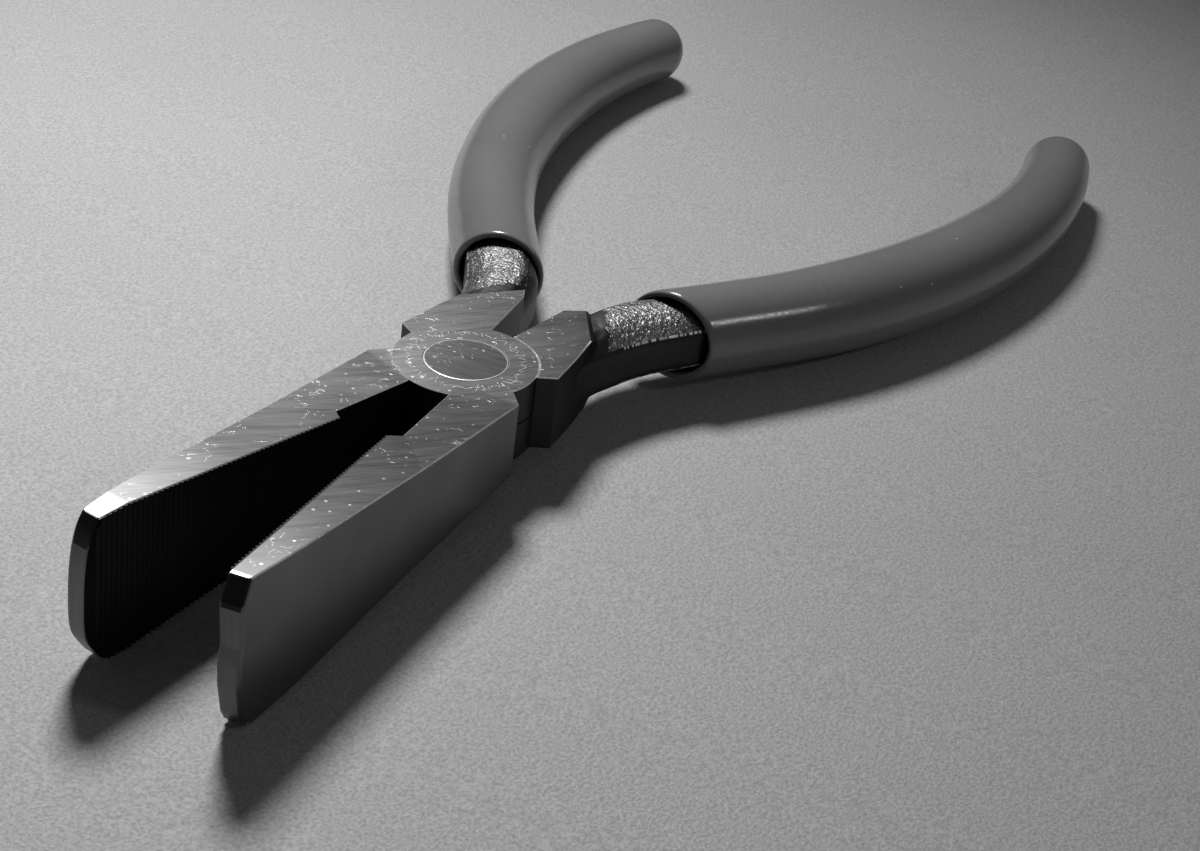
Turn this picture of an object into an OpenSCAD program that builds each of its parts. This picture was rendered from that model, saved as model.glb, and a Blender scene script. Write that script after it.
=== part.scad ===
// Wide flat-nose pliers: two forged halves in a lap joint, a rivet and two plastic sleeves.
// The origin is on the pivot axis at the ground upper face of the joint.
// +Z runs out of that face and +X towards the jaw tips. Sizes are in millimetres.

/* [Joint] */
// Radius of the round lap of each half
joint_r = 8; // [7:0.1:10]
// Thickness of the joint between its two ground faces
joint_t = 8.9; // [7:0.1:11]
// Gap between the two laps, face to face
lap_gap = 0.1; // [0.05:0.01:0.3]
// Gap round a lap, between its edge and the other half
recess_gap = 0.15; // [0.1:0.01:0.4]
// Angle between the two halves as the tool lies open
rest_angle = 14.7; // [4:0.1:30]

/* [Rivet] */
// Radius of the rivet's flush heads
rivet_head_r = 4.66; // [3.6:0.02:5.6]
// Radius of the rivet's shank
rivet_r = 3; // [2:0.1:3.4]
// Radial running clearance between the rivet and the lower half
rivet_clearance = 0.04; // [0.02:0.01:0.09]

/* [Jaws] */
// Distance from the pivot axis to the jaw tips
jaw_length = 55; // [44:0.5:66]
// Height of the jaws at their tips
tip_height = 17; // [12:0.1:20]
// Thickness of one jaw at its tip
tip_thickness = 2.5; // [1.8:0.1:4]
// Thickness of one jaw at its shoulder beside the joint
shoulder_y = 8.65; // [8:0.05:10.6]
// Place of the shoulder along the jaw
shoulder_x = 6; // [5:0.1:7]
// Where the jaws begin to grow taller
flare_x = 8.5; // [8.3:0.1:30]
// Where the toothed faces begin
bite_x = 20.4; // [16:0.1:28]
// Half the width of the slot between the jaws behind the teeth
relief_y = 1.45; // [0.8:0.05:2.5]
// Length of the sloping step between the slot and the teeth
step_length = 0.8; // [0.4:0.1:2]
// Distance from one tooth to the next
tooth_pitch = 0.65; // [0.5:0.05:1.2]
// Depth of the teeth
tooth_depth = 0.22; // [0.1:0.01:0.35]
// Gap from each row of teeth to the centre plane when the jaws are shut
bite_gap = 0.05; // [0.03:0.01:0.2]
// Radius of the arc that rounds the jaw ends, seen from the side
nose_r = 35; // [20:1:80]
// Length of the corner cuts on the jaw ends
nose_cut_x = 1.6; // [0.5:0.1:2.5]
// Height of the corner cuts on the jaw ends
nose_cut_z = 2.6; // [1:0.1:4]

/* [Shanks] */
// Gap from each shank to the centre plane when the jaws are shut
shank_gap = 0.3; // [0.15:0.05:0.8]
// Step from the ground joint face down to the forged neck
neck_step = 0.3; // [0.1:0.05:0.8]
// Length of the ground pad behind the pivot, on its inner side
pad_length = 19.4; // [16:0.1:22]

/* [Handles] */
// Place of the sleeve mouth along the closed tool
mouth_x = -30.6; // [-34:0.1:-27]
// Place of the sleeve mouth to the side of the closed tool
mouth_y = -8.5; // [-10:0.05:-7]
// Heading of the handle at the sleeve mouth, in degrees
mouth_heading = 206.15; // [200:0.05:212]
// Straight length after the sleeve mouth
straight_length = 11; // [6:0.5:20]
// Radius of the first bend
bend1_r = 101; // [80:1:130]
// Length of the first bend
bend1_length = 51; // [36:0.5:60]
// Radius of the second bend
bend2_r = 85; // [60:1:110]
// Length of the second bend
bend2_length = 27; // [14:0.5:34]
// Half the width of the neck at the sleeve mouth
neck_half_w = 4.1; // [3.5:0.05:4.15]
// Half the height of the neck at the sleeve mouth
neck_half_h = 3.65; // [3.2:0.05:3.7]
// Half the width of the tang behind the mouth
tang_half_w = 3.5; // [2.8:0.05:3.7]
// Half the height of the tang behind the mouth
tang_half_h = 3.1; // [2.6:0.05:3.3]
// Width and height of the tang's end as a share of its start
tang_taper = 0.75; // [0.6:0.05:1]

/* [Sleeves] */
// Radius of the sleeve at its mouth
sleeve_mouth_r = 5.35; // [5.2:0.05:6.2]
// Radius of the sleeve where it is thickest
sleeve_belly_r = 5.65; // [5.3:0.05:6.6]
// Radius of the sleeve at its closed end
sleeve_end_r = 4.75; // [4.2:0.05:5.6]
// Wall of the sleeve at its mouth
mouth_wall = 0.85; // [0.5:0.05:0.9]
// Depth of the open round mouth before the sleeve grips the tang
mouth_depth = 3; // [1:0.5:6]
// Thickness of plastic between the tang's end and the sleeve's end
end_wall = 5; // [3:0.5:10]
// Clearance between tang and sleeve
sleeve_clearance = 0.05; // [0.02:0.01:0.15]

/* [Hidden] */
$fn = 96;
over = 1;                 // how far a cutting solid runs past what it cuts
half_t = joint_t / 2;
half_tip = tip_height / 2;
recess_r = joint_r + recess_gap;
countersink = rivet_head_r - rivet_r;
tooth_count = floor((jaw_length - bite_x) / tooth_pitch);
flank = 0.35;             // half the flat flank of a neck section, as a share of its half height
crown = 0.6;              // half the flat top of a neck section, as a share of its half width
tang_run = 4;             // length over which the neck narrows to the tang
neck_bend = 7;            // distance from the sleeve mouth back to the bend in the neck
handle_length = straight_length + bend1_length + bend2_length;
tang_end = handle_length - end_wall + sleeve_end_r;
belly_at = handle_length / 3;
mouth = [mouth_x, mouth_y];

function along(heading, d) = d * [cos(heading), sin(heading)];
function turn(r, d) = d / r * 180 / PI;
// A point d along an arc of radius r that starts at p and turns clockwise
function arc_point(p, heading, r, d) =
    p + along(heading - 90, r) + along(heading - turn(r, d) + 90, r);

bend1_start = mouth + along(mouth_heading, straight_length);
bend2_start = arc_point(bend1_start, mouth_heading, bend1_r, bend1_length);
bend2_heading = mouth_heading - turn(bend1_r, bend1_length);

// Centre line of a handle, s millimetres behind the sleeve mouth
function handle_point(s) =
    s < straight_length ? mouth + along(mouth_heading, s) :
    s < straight_length + bend1_length
        ? arc_point(bend1_start, mouth_heading, bend1_r, s - straight_length)
        : arc_point(bend2_start, bend2_heading, bend2_r, s - straight_length - bend1_length);
function handle_heading(s) =
    mouth_heading - turn(bend1_r, min(max(s - straight_length, 0), bend1_length))
                  - turn(bend2_r, max(s - straight_length - bend1_length, 0));
function sleeve_r(s) = lookup(s, [[0, sleeve_mouth_r], [belly_at, sleeve_belly_r],
                                  [handle_length, sleeve_end_r]]);
function ease(t) = t * t * (3 - 2 * t);

// An eight-sided section with flat top, flat flanks and drafted corners.
// Its inner side lies at p_in and its outer side at p_out.
function section(p_in, p_out, half_h) =
    let(mid = (p_in + p_out) / 2, side = (p_out - p_in) / 2)
    [for (c = [[-1, -flank], [-1, flank], [-crown, 1], [crown, 1],
               [1, flank], [1, -flank], [crown, -1], [-crown, -1]])
        [mid[0] + c[0] * side[0], mid[1] + c[0] * side[1], c[1] * half_h]];

// A section square to the handle's centre line, s behind the mouth
function handle_section(s, half_w, half_h) =
    let(p = handle_point(s), side = along(handle_heading(s) - 90, half_w))
    section(p + side, p - side, half_h);

// The tang from the sleeve mouth to its end, grown by grow all round
function tang_sections(grow) = [
    for (i = [0:24])
        let(s = (i / 24) * (tang_end + grow),
            t = ease(min(s / tang_run, 1)),
            k = 1 - (1 - tang_taper) * s / tang_end)
        handle_section(s, (neck_half_w + (tang_half_w - neck_half_w) * t) * k + grow,
                          (neck_half_h + (tang_half_h - neck_half_h) * t) * k + grow)];

// Skins a stack of rings of equal count and closes both ends
module skin(rings) {
    n = len(rings[0]);
    m = len(rings);
    polyhedron(
        points = [for (r = rings) for (p = r) p],
        faces = concat(
            [[for (i = [n - 1:-1:0]) i]],
            [for (j = [0:m - 2]) for (i = [0:n - 1])
                let(a = j * n + i, b = j * n + (i + 1) % n)
                each [[a, b, b + n], [a, b + n, a + n]]],
            [[for (i = [0:n - 1]) (m - 1) * n + i]]));
}

// Outline of one jaw from above, tool shut, with its row of teeth
module jaw_outline() {
    polygon(concat(
        [[joint_r / 2, relief_y], [bite_x - step_length, relief_y], [bite_x, bite_gap]],
        [for (i = [0:tooth_count - 1]) for (k = [0.5, 1])
            [bite_x + (i + k) * tooth_pitch, bite_gap + (k == 0.5 ? tooth_depth : 0)]],
        [[jaw_length + over, bite_gap],
         [jaw_length + over, tip_thickness],
         [jaw_length, tip_thickness],
         [shoulder_x, shoulder_y],
         recess_r * [cos(62), sin(62)],
         joint_r / 2 * [cos(62), sin(62)]]));
}

// Outline of one jaw from the side, from above the pivot to the tip
module jaw_profile() {
    nose = jaw_length - nose_cut_x;
    half = [[0, half_t], [flare_x, half_t], [nose, half_tip], [jaw_length, half_tip - nose_cut_z]];
    polygon(concat(half, [for (i = [3:-1:0]) [half[i][0], -half[i][1]]]));
}

module jaw() {
    intersection() {
        translate([0, 0, -half_tip]) linear_extrude(tip_height) jaw_outline();
        translate([0, shoulder_y + over, 0]) rotate([90, 0, 0])
            linear_extrude(shoulder_y + 2 * over) jaw_profile();
        translate([jaw_length - nose_r, shoulder_y + over, 0]) rotate([90, 0, 0])
            cylinder(r = nose_r, h = shoulder_y + 2 * over, $fn = 200);
    }
}

// The ground pad behind the lap, which carries the shoulder that stops the opening
module pad() {
    k = joint_r / 8;
    translate([0, 0, -half_t]) linear_extrude(joint_t) polygon([
        [-joint_r / 2, -shank_gap],
        [-pad_length + 1.8, -shank_gap],
        [-pad_length, -shank_gap - 0.6],
        [-pad_length + 5.5, -6.9],
        [-1.2 * joint_r, -8.1 * k],
        [-4.1 * k, -9.4 * k],
        recess_r * [cos(251), sin(251)],
        joint_r / 2 * [cos(251), sin(251)]]);
}

// The forged neck from the pad to the sleeve mouth, and the tang inside the sleeve
module neck_and_tang() {
    side = along(mouth_heading - 90, neck_half_w);
    h = half_t - neck_step;
    neck = [
        section([-joint_r - 1, -shank_gap], [-joint_r - 1, -7.4], h - 0.1),
        section([-14, -shank_gap], [-12.8, -7], h),
        section([-18.5, -shank_gap - 0.3], [-15.8, -7.5], h),
        section(mouth + side * 1.05 - along(mouth_heading, neck_bend),
                mouth - side * 1.05 - along(mouth_heading, neck_bend), (h + neck_half_h) / 2)];
    skin(concat(neck, tang_sections(0)));
}

// One half, drawn shut with its lap on the upper side of the joint's middle plane
module half_blank() {
    difference() {
        union() {
            jaw();
            pad();
            neck_and_tang();
        }
        translate([0, 0, -half_t - over]) cylinder(r = recess_r, h = half_t + over + lap_gap / 2);
    }
    translate([0, 0, lap_gap / 2]) cylinder(r = joint_r, h = half_t - lap_gap / 2);
}

// The rivet's shape, grown by grow all round, about the joint's middle plane
module rivet_shape(grow) {
    r = rivet_r + grow;
    cylinder(r = r, h = joint_t + 2 * grow, center = true);
    for (side = [0, 180])
        rotate([side, 0, 0]) translate([0, 0, half_t - countersink])
            cylinder(r1 = r, r2 = r + countersink, h = countersink);
}

module place(angle) {
    translate([0, 0, -half_t]) rotate([0, 0, angle]) children();
}

module upper_half() {
    color("darkgray") difference() {
        place(rest_angle / 2) half_blank();
        place(0) rivet_shape(0);
    }
}

module lower_half() {
    color("gray") difference() {
        place(-rest_angle / 2) rotate([180, 0, 0]) half_blank();
        place(0) rivet_shape(rivet_clearance);
    }
}

module pivot_rivet() {
    color("silver") place(0) rivet_shape(0);
}

// One plastic sleeve, drawn on the handle of half_blank()
module sleeve() {
    sides = 24;
    body = [for (i = [0:22]) let(s = i / 22 * handle_length) [s, sleeve_r(s)]];
    cap = [for (a = [15:15:75])
        [handle_length + sleeve_end_r * sin(a), sleeve_end_r * cos(a)]];
    difference() {
        skin([for (b = concat(body, cap, [[handle_length + sleeve_end_r * 0.995, sleeve_end_r * 0.1]]))
            let(p = handle_point(b[0]), n = along(handle_heading(b[0]) - 90, b[1]))
            [for (k = [0:sides - 1]) let(a = k * 360 / sides)
                [p[0] + n[0] * cos(a), p[1] + n[1] * cos(a), b[1] * sin(a)]]]);
        skin(tang_sections(sleeve_clearance));
        translate([mouth_x, mouth_y, 0]) rotate([0, 0, mouth_heading]) rotate([0, 90, 0])
            translate([0, 0, -over])
            cylinder(r = sleeve_mouth_r - mouth_wall, h = mouth_depth + over);
    }
}

module left_sleeve() {
    color("dimgray") place(rest_angle / 2) sleeve();
}

module right_sleeve() {
    color("dimgray") place(-rest_angle / 2) rotate([180, 0, 0]) sleeve();
}

upper_half();
lower_half();
pivot_rivet();
left_sleeve();
right_sleeve();
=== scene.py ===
"""Wide flat-nose pliers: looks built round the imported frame.

Every size is in millimetres and becomes metres where a mesh is made. A half is drawn
as if the tool were shut, about the middle plane of its joint, and is then turned open.
"""
import logging
import math
from collections.abc import Iterator, Sequence
from contextlib import contextmanager
from dataclasses import dataclass, field
from enum import Enum
from functools import reduce

import bmesh
import bpy
from bpy.types import Material, Mesh, Node, NodeSocket, NodeTree, Object
from mathutils import Matrix, Vector, noise


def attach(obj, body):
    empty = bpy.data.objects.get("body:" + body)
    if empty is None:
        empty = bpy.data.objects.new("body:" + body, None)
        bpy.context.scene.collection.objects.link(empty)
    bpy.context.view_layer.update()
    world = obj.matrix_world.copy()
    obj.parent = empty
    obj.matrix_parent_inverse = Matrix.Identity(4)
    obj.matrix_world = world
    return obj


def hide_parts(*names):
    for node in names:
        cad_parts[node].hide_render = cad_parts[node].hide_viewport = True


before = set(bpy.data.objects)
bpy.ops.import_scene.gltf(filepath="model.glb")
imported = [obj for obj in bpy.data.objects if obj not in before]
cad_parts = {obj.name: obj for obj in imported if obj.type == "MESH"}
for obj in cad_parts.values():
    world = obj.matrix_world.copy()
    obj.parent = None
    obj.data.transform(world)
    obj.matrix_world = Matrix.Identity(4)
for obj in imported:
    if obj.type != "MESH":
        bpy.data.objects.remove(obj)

LOG = logging.getLogger("pliers")
MM = 0.001
UP = Vector((0, 0, 1))

Ring = list[Vector]
Pairs = Sequence[tuple[float, float]]
Value = NodeSocket | float


class Nose(Enum):
    """How a jaw ends."""

    BEVELLED = "bevelled"
    ROUNDED = "rounded"


class Finish(Enum):
    """Finish of a face of a forging, by its place in the list of materials."""

    GROUND = 0
    SATIN = 1
    # Bright worn edges, which also paint highlights along edges, ridges and the tip's top facet.
    EDGE = 2
    SCALE = 3
    # Near-black side steel: the forging's dark sides, and painted shade on faces that lie in shadow.
    NECK_SIDE_AND_SHADE = 4
    # Near-black inner faces and teeth: painted shade.
    BITE_IN_SHADE = 5


# ---------------------------------------------------------------- geometry helpers


def ease(value: float) -> float:
    """Smooth step of a value held between 0 and 1."""
    t = min(max(value, 0.0), 1.0)
    return t * t * (3 - 2 * t)


def lookup(x: float, table: Pairs, smooth: bool = False) -> float:
    """Value read from a table.

    Args:
        x: Where the table is read; outside it an end value holds.
        table: (x, value) pairs, rising in x.
        smooth: Follows a smooth curve through the points instead of straight lines.

    Returns:
        The value.
    """
    if x <= table[0][0]:
        return table[0][1]
    if x >= table[-1][0]:
        return table[-1][1]
    i = max(k for k in range(len(table) - 1) if table[k][0] <= x)
    (x0, v0), (x1, v1) = table[i], table[i + 1]
    span = x1 - x0
    t = (x - x0) / span
    if not smooth:
        return v0 + (v1 - v0) * t
    before, after = table[max(i - 1, 0)], table[min(i + 2, len(table) - 1)]
    slope0 = (v1 - before[1]) / (x1 - before[0])
    slope1 = (after[1] - v0) / (after[0] - x0)
    rise = (3 - 2 * t) * t**2
    return v0 + (v1 - v0) * rise + span * t * (1 - t) * ((1 - t) * slope0 - t * slope1)


def heading(degrees: float) -> Vector:
    """Unit vector in the XY plane at an angle from +X."""
    return Vector((math.cos(math.radians(degrees)), math.sin(math.radians(degrees)), 0))


def new_object(name: str, data: bpy.types.ID) -> Object:
    """Links a new object for a mesh, curve, light or camera into the scene."""
    obj = bpy.data.objects.new(name, data)
    bpy.context.scene.collection.objects.link(obj)
    return obj


@contextmanager
def editing(mesh: Mesh) -> Iterator[bmesh.types.BMesh]:
    """Opens a mesh for editing and writes the changes back.

    Args:
        mesh: The mesh.

    Yields:
        The mesh as an edit mesh.
    """
    work = bmesh.new()
    work.from_mesh(mesh)
    yield work
    work.to_mesh(mesh)
    work.free()


def mesh_of(name: str, points: Sequence[Vector], faces: Sequence[Sequence[int]]) -> Mesh:
    """A closed mesh with its faces turned outwards.

    Args:
        name: Name of the new mesh.
        points: Its points, in millimetres.
        faces: Its faces, as lists of places in the points.

    Returns:
        The mesh, in metres.
    """
    mesh = bpy.data.meshes.new(name)
    mesh.from_pydata([p * MM for p in points], [], faces)
    with editing(mesh) as work:
        bmesh.ops.remove_doubles(work, verts=work.verts, dist=1e-9)
        bmesh.ops.recalc_face_normals(work, faces=work.faces)
    return mesh


def loft(name: str, rings: Sequence[Ring], strip_caps: bool = False) -> Mesh:
    """Skins closed rings of equal count and closes both ends.

    Args:
        name: Name of the new mesh.
        rings: The rings, in order.
        strip_caps: Closes the ends with a strip of quads between the two sides of a ring
            whose points go up one side and down the other.

    Returns:
        The closed mesh.
    """
    count = len(rings[0])
    faces: list[list[int]] = []
    for j in range(len(rings) - 1):
        for i in range(count):
            a = j * count + i
            b = j * count + (i + 1) % count
            faces.append([a, b, b + count, a + count])
    for start in (0, (len(rings) - 1) * count):
        if strip_caps:
            for i in range(count // 2 - 1):
                faces.append([start + i, start + i + 1, start + count - 2 - i, start + count - 1 - i])
        else:
            faces.append([start + i for i in range(count)])
    return mesh_of(name, [p for r in rings for p in r], faces)


def lathe(name: str, profile: Pairs, sides: int = 96) -> Mesh:
    """Turns (radius, height) pairs about Z; the first and last radius are 0.

    Args:
        name: Name of the new mesh.
        profile: The pairs, from one pole to the other.
        sides: Number of sides round the axis.

    Returns:
        The closed mesh.
    """
    points = [UP * profile[0][1]]
    for radius, height in profile[1:-1]:
        for k in range(sides):
            a = 2 * math.pi * k / sides
            points.append(Vector((radius * math.cos(a), radius * math.sin(a), height)))
    points.append(UP * profile[-1][1])
    faces: list[list[int]] = []
    last_row = 1 + (len(profile) - 3) * sides
    for k in range(sides):
        n = (k + 1) % sides
        faces.append([0, 1 + k, 1 + n])
        for a in range(1, last_row, sides):
            faces.append([a + k, a + n, a + sides + n, a + sides + k])
        faces.append([len(points) - 1, last_row + n, last_row + k])
    return mesh_of(name, points, faces)


def bake_modifiers(obj: Object) -> None:
    """Replaces an object's mesh by its evaluated mesh and removes the modifiers.

    Args:
        obj: The object.
    """
    bpy.context.view_layer.update()
    evaluated = obj.evaluated_get(bpy.context.evaluated_depsgraph_get())
    mesh = bpy.data.meshes.new_from_object(evaluated)
    obj.modifiers.clear()
    old = obj.data
    obj.data = mesh
    bpy.data.meshes.remove(old)


def combine(base: Object, mesh: Mesh, operation: str) -> None:
    """Joins a mesh to an object, or cuts it out of it, and applies the result.

    Args:
        base: The object that changes.
        mesh: The mesh joined or cut out, which is then removed.
        operation: UNION or DIFFERENCE.
    """
    tool = new_object("tool", mesh)
    change = base.modifiers.new("combine", "BOOLEAN")
    change.operation = operation
    change.solver = "EXACT"
    change.object = tool
    bake_modifiers(base)
    bpy.data.objects.remove(tool)
    bpy.data.meshes.remove(mesh)


# ---------------------------------------------------------------- node helpers


class Net:
    """A node tree being wired, with short calls to add and link its nodes."""

    def __init__(self, tree: NodeTree) -> None:
        """Keeps the tree."""
        self.tree = tree

    def add(self, kind: str, values: dict | None = None, **settings: object) -> Node:
        """Adds a node.

        Args:
            kind: The node's type name.
            values: Inputs by name or index, each a socket to link or a value to set.
            **settings: Attributes of the node itself, set before its inputs.

        Returns:
            The node.
        """
        node = self.tree.nodes.new(kind)
        for key, value in settings.items():
            setattr(node, key, value)
        for key, value in (values or {}).items():
            if isinstance(value, NodeSocket):
                self.tree.links.new(value, node.inputs[key])
            else:
                node.inputs[key].default_value = value
        return node

    def out(self, kind: str, values: dict | None = None, **settings: object) -> NodeSocket:
        """First output of a new node, added as by add()."""
        return self.add(kind, values, **settings).outputs[0]

    def group(self, tree: NodeTree, **values: object) -> NodeSocket:
        """Output of a shader group, placed with its own input values."""
        return self.out("ShaderNodeGroup", values, node_tree=tree)

    def math(self, operation: str, a: Value, b: Value = 0.0) -> NodeSocket:
        """Result of a math node, in a shader or geometry tree."""
        return self.out("ShaderNodeMath", {0: a, 1: b}, operation=operation)

    def times(self, *terms: Value) -> NodeSocket:
        """Product of the terms."""
        return reduce(lambda a, b: self.math("MULTIPLY", a, b), terms)

    def plus(self, a: Value, b: Value) -> NodeSocket:
        """Sum of two terms."""
        return self.math("ADD", a, b)

    def minus(self, a: Value, b: Value) -> NodeSocket:
        """The first term less the second."""
        return self.math("SUBTRACT", a, b)

    def scale(self, value: NodeSocket, low: float, high: float, to_low: float, to_high: float,
              kind: str = "LINEAR") -> NodeSocket:
        """A value mapped in a straight line from one range to another."""
        sockets = {"Value": value, "From Min": low, "From Max": high, "To Min": to_low, "To Max": to_high}
        return self.out("ShaderNodeMapRange", sockets, interpolation_type=kind)

    def ramp(self, value: NodeSocket, low: float, high: float, to_low: float = 0.0,
             to_high: float = 1.0) -> NodeSocket:
        """A value mapped smoothly from one range to another."""
        return self.scale(value, low, high, to_low, to_high, "SMOOTHSTEP")

    def mix(self, factor: Value, a: Value, b: Value) -> NodeSocket:
        """A value mixed from a to b."""
        return self.out("ShaderNodeMix", {0: factor, 2: a, 3: b}, data_type="FLOAT")

    def noise(self, place: NodeSocket, scale: Value, detail: float, **more: float) -> NodeSocket:
        """Value of a noise texture."""
        return self.out("ShaderNodeTexNoise", {"Vector": place, "Scale": scale, "Detail": detail, **more})

    def xyz(self, x: Value = 0.0, y: Value = 0.0, z: Value = 0.0) -> NodeSocket:
        """A vector of three values."""
        return self.out("ShaderNodeCombineXYZ", {0: x, 1: y, 2: z})

    def vector(self, operation: str, a: NodeSocket, b: NodeSocket) -> NodeSocket:
        """Result of a vector math node."""
        return self.out("ShaderNodeVectorMath", {0: a, "Scale" if operation == "SCALE" else 1: b},
                        operation=operation)


class Group(Net):
    """A new node group with named inputs and one output."""

    TYPES = {float: "Float", int: "Int", tuple: "Vector"}

    def __init__(self, kind: str, name: str, inputs: dict[str, object]) -> None:
        """Makes the tree and its sockets.

        Args:
            kind: Shader or Geometry.
            name: Name of the tree.
            inputs: Each input's default value, or the name of its type if it has none.
        """
        super().__init__(bpy.data.node_groups.new(name, kind + "NodeTree"))
        sockets = self.tree.interface
        for title, value in inputs.items():
            bare = isinstance(value, str)
            typed = "NodeSocket" + (value if bare else self.TYPES[type(value)])
            item = sockets.new_socket(name=title, in_out="INPUT", socket_type=typed)
            if not bare:
                item.default_value = value
        made = "NodeSocketFloat" if kind == "Shader" else "NodeSocketGeometry"
        sockets.new_socket(name="Result", in_out="OUTPUT", socket_type=made)
        self.given = self.tree.nodes.new("NodeGroupInput").outputs
        self.result = self.tree.nodes.new("NodeGroupOutput").inputs

    def close(self, value: NodeSocket) -> NodeTree:
        """Links the group's result and gives back the tree."""
        self.tree.links.new(value, self.result[0])
        return self.tree

    def dress(self, geometry: NodeSocket, title: str) -> NodeTree:
        """Ends a geometry tree with real geometry in the material of a named input."""
        solid = self.out("GeometryNodeRealizeInstances", {"Geometry": geometry})
        dressed = {"Geometry": solid, "Material": self.given[title]}
        return self.close(self.out("GeometryNodeSetMaterial", dressed))


def run_tree(obj: Object, tree: NodeTree, values: dict) -> None:
    """Runs a geometry tree on an object and keeps its result as a plain mesh.

    Args:
        obj: The object whose mesh goes into the tree.
        tree: The tree.
        values: Values of the tree's inputs, by name.
    """
    modifier = obj.modifiers.new(tree.name, "NODES")
    modifier.node_group = tree
    for item in tree.interface.items_tree:
        if item.item_type == "SOCKET" and item.in_out == "INPUT" and item.name in values:
            modifier[item.identifier] = values[item.name]
    bake_modifiers(obj)


# ---------------------------------------------------------------- shared shader groups


def grinding_lines() -> NodeTree:
    """Fine straight lines, as a grinding wheel leaves; Turn sets their direction."""
    inputs = {"Vector": "Vector", "Turn": (0.0, 0.0, 0.0), "Fineness": 4000.0, "Length": 0.03}
    net = Group("Shader", "grinding lines", inputs)
    given = net.given
    turned = net.out("ShaderNodeMapping", {"Vector": given["Vector"], "Rotation": given["Turn"]})
    drawn = net.vector("MULTIPLY", turned, net.xyz(given["Length"], 1.0, given["Length"]))
    fine = net.noise(drawn, given["Fineness"], 2.0, Roughness=0.7)
    coarse = net.noise(drawn, net.times(given["Fineness"], 0.27), 1.0)
    return net.close(net.scale(net.mix(0.4, fine, coarse), 0.3, 0.7, 0.0, 1.0))


def specks() -> NodeTree:
    """Small separate specks: dust, nicks or grains. Share is how many cells hold one."""
    inputs = {"Vector": "Vector", "Spacing": 600.0, "Size": 0.12, "Share": 0.3}
    net = Group("Shader", "specks", inputs)
    given = net.given
    cells = net.add("ShaderNodeTexVoronoi", {"Vector": given["Vector"], "Scale": given["Spacing"]}).outputs
    draws = net.add("ShaderNodeSeparateColor", {0: cells["Color"]}).outputs
    chosen = net.math("LESS_THAN", draws[0], given["Share"])
    reach = net.times(given["Size"], net.scale(draws[1], 0.0, 1.0, 0.4, 1.3))
    return net.close(net.times(chosen, net.math("LESS_THAN", cells["Distance"], reach)))


def scratches() -> NodeTree:
    """Thin curling scratches, kept to patches."""
    inputs = {"Vector": "Vector", "Spacing": 260.0, "Width": 0.012, "Patches": 0.5}
    net = Group("Shader", "scratches", inputs)
    place, spacing = net.given["Vector"], net.given["Spacing"]
    wander = net.noise(place, spacing, 1.5, Distortion=1.2)
    thin = net.math("LESS_THAN", net.math("ABSOLUTE", net.minus(wander, 0.5)), net.given["Width"])
    pieces = net.ramp(net.noise(place, net.times(spacing, 2.1), 1.0), 0.5, 0.58)
    wide = net.noise(place, net.times(spacing, 0.35), 0.0)
    return net.close(net.times(thin, pieces, net.math("GREATER_THAN", wide, net.given["Patches"])))


def clouds() -> NodeTree:
    """Slow change of tone over a surface, from Low to High."""
    inputs = {"Vector": "Vector", "Scale": 90.0, "Low": 0.8, "High": 1.1}
    net = Group("Shader", "clouds", inputs)
    slow = net.noise(net.given["Vector"], net.given["Scale"], 3.0)
    return net.close(net.mix(net.scale(slow, 0.3, 0.7, 0.0, 1.0), net.given["Low"], net.given["High"]))


@dataclass
class Effects:
    """Shader groups that more than one finish places."""

    lines: NodeTree = field(default_factory=grinding_lines)
    specks: NodeTree = field(default_factory=specks)
    scratches: NodeTree = field(default_factory=scratches)
    clouds: NodeTree = field(default_factory=clouds)


# ---------------------------------------------------------------- finishes


class Easel(Net):
    """A material's net, with its place on the surface and the shared groups."""

    def __init__(self, tree: NodeTree, effects: Effects) -> None:
        """Keeps the tree and the groups, and adds Object coordinates."""
        super().__init__(tree)
        self.effects = effects
        self.place = self.add("ShaderNodeTexCoord").outputs["Object"]

    def lines(self, *turn: float, **more: float) -> NodeSocket:
        """Grinding lines, turned by three angles."""
        return self.group(self.effects.lines, Vector=self.place, Turn=turn, **more)

    def specks(self, spacing: float, size: float, share: float) -> NodeSocket:
        """Specks of a spacing (per metre), a size and a share of the cells."""
        return self.group(self.effects.specks, Vector=self.place, Spacing=spacing, Size=size, Share=share)

    def clouds(self, scale: float, low: float, high: float) -> NodeSocket:
        """Slow change of tone between two values."""
        return self.group(self.effects.clouds, Vector=self.place, Scale=scale, Low=low, High=high)

    def grain(self, scale: float, detail: float, **more: float) -> NodeSocket:
        """Noise over the surface."""
        return self.noise(self.place, scale, detail, **more)


Look = tuple[NodeSocket, NodeSocket, NodeSocket, float]


@dataclass(frozen=True)
class Surface:
    """A finish; each kind draws its own pattern about its tone and roughness."""

    name: str
    tone: float
    rough: float
    metallic: float = 1.0

    def draw(self, net: Easel) -> Look:
        """Draws the pattern.

        Args:
            net: The material's net.

        Returns:
            Tone, roughness, height of the bump and depth of the bump in millimetres.
        """
        raise NotImplementedError

    def material(self, effects: Effects) -> Material:
        """Makes the material.

        Args:
            effects: The shared shader groups.

        Returns:
            The material.
        """
        material = bpy.data.materials.new(self.name)
        material.use_nodes = True
        net = Easel(material.node_tree, effects)
        shader = net.tree.nodes["Principled BSDF"].inputs
        shader["Metallic"].default_value = self.metallic
        tone, rough, height, depth = self.draw(net)
        grey = net.out("ShaderNodeCombineColor", {0: tone, 1: tone, 2: tone})
        bump = net.out("ShaderNodeBump", {"Height": height, "Distance": depth * MM})
        for socket, key in ((grey, "Base Color"), (rough, "Roughness"), (bump, "Normal")):
            net.tree.links.new(socket, shader[key])
        return material


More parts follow.
